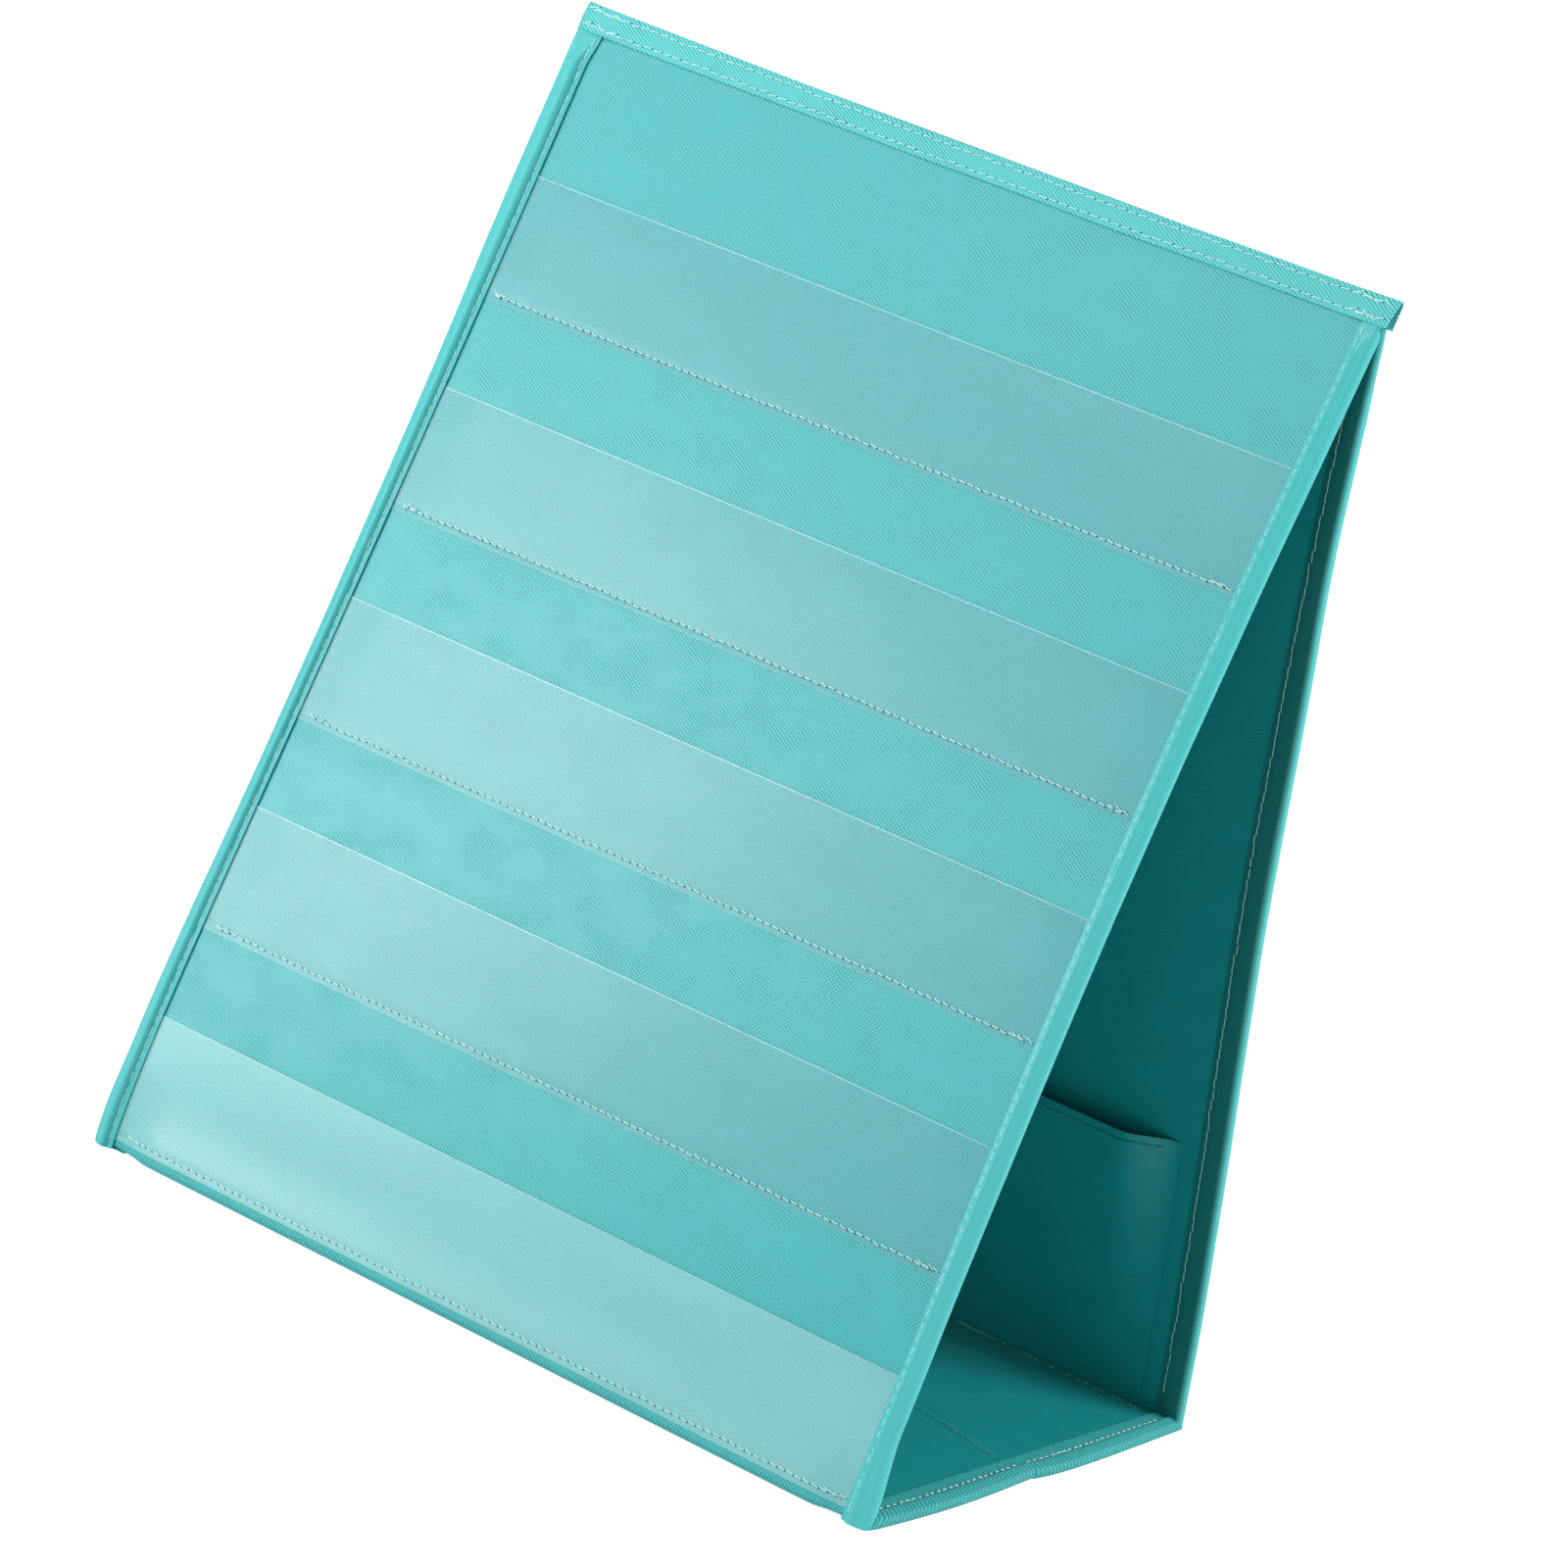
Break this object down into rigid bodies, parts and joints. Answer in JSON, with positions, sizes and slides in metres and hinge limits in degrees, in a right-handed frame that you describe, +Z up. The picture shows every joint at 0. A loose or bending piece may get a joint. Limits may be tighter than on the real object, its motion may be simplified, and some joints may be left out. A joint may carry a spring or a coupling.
{
  "type": "pocket chart",
  "caption": "Free-standing tabletop pocket chart: two bound, cloth-covered panels with clear card pockets, hinged to a base that folds upwards, with an inner storage pocket.",
  "frame": {"origin": "on the resting surface, under the middle of the open chart", "axes": "+Z up, +Y from the front panel's foot to the rear panel's foot, +X along the folds to the viewer's right"},
  "size_m": [0.32, 0.2138, 0.4059],
  "materials": {
    "cover_cloth": "fine plain-weave polyester, slight sheen",
    "panel_tape": "smooth coated binding tape, satin",
    "strip_tape": "woven ribbed tape, matt",
    "base_tape": "grosgrain tape, fine ribs across",
    "clear_film": "soft clear film, slightly milky",
    "lining": "smooth coated lining cloth, dark, low sheen",
    "board": "solid grey board, matt, hidden",
    "thread": "pale sewing thread"
  },
  "bodies": {
    "base_front": {"base_front_board": "board", "base_front_cover": "cover_cloth", "base_front_lining": "lining", "base_front_left_binding": "base_tape", "base_front_left_seam": "thread", "base_front_right_binding": "base_tape", "base_front_right_seam": "thread"},
    "base_rear": {"base_rear_board": "board", "base_rear_cover": "cover_cloth", "base_rear_lining": "lining", "base_rear_left_binding": "base_tape", "base_rear_left_seam": "thread", "base_rear_right_binding": "base_tape", "base_rear_right_seam": "thread"},
    "front_panel": {"front_board": "board", "front_cover": "cover_cloth", "front_lining": "lining", "front_left_binding": "panel_tape", "front_left_seam": "thread", "front_right_binding": "panel_tape", "front_right_seam": "thread", "front_pocket_1": "clear_film", "front_pocket_1_seam": "thread", "front_pocket_2": "clear_film", "front_pocket_2_seam": "thread", "front_pocket_3": "clear_film", "front_pocket_3_seam": "thread", "front_pocket_4": "clear_film", "front_pocket_4_seam": "thread", "front_pocket_5": "clear_film", "front_pocket_5_seam": "thread", "top_binding": "strip_tape", "top_binding_lower_seam": "thread", "top_binding_upper_seam": "thread"},
    "back_panel": {"back_board": "board", "back_cover": "cover_cloth", "back_lining": "lining", "back_left_binding": "panel_tape", "back_left_seam": "thread", "back_right_binding": "panel_tape", "back_right_seam": "thread", "back_pocket_1": "clear_film", "back_pocket_1_seam": "thread", "back_pocket_2": "clear_film", "back_pocket_2_seam": "thread", "back_pocket_3": "clear_film", "back_pocket_3_seam": "thread", "back_pocket_4": "clear_film", "back_pocket_4_seam": "thread", "back_pocket_5": "clear_film", "back_pocket_5_seam": "thread", "storage_pocket": "lining", "storage_pocket_seam": "thread"}
  },
  "joints": [
    {"name": "base_fold", "type": "hinge", "parent": "base_front", "child": "base_rear", "pos_m": [0, 0, 0], "axis": [-1, 0, 0], "range_deg": [0, 164]},
    {"name": "front_hinge", "type": "hinge", "parent": "base_front", "child": "front_panel", "pos_m": [0, -0.10051, 0.0046], "axis": [-1, 0, 0], "range_deg": [0, 70]},
    {"name": "rear_hinge", "type": "hinge", "parent": "base_rear", "child": "back_panel", "pos_m": [0, 0.10051, 0.0046], "axis": [1, 0, 0], "range_deg": [0, 70]}
  ],
  "couplings": [
    {"joint": "front_hinge", "follows": "base_fold", "ratio": 0.42617},
    {"joint": "rear_hinge", "follows": "base_fold", "ratio": 0.42617}
  ]
}
